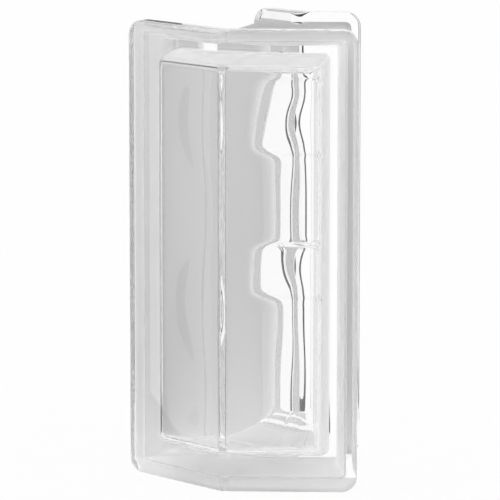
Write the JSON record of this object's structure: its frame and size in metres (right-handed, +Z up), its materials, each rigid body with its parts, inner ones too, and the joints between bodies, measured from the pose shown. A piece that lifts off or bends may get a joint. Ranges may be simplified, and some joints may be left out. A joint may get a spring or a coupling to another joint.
{
  "type": "corner glass block",
  "caption": "Hollow clear glass block for a wall corner of 45 degrees, with outer faces that meet at a ridge, flanged rims, mortar channels and a wavy sealed cavity.",
  "frame": {"origin": "centre of the block's outline on the floor that it stands on", "axes": "+Z up along the ridge, -Y the way the ridge between the two outer faces looks, X across the block"},
  "size_m": [0.1026, 0.0944, 0.19],
  "materials": {
    "glass": "clear pressed glass, polished outside, waves inside"
  },
  "bodies": {
    "root": {"glass_block": "glass"}
  },
  "joints": []
}
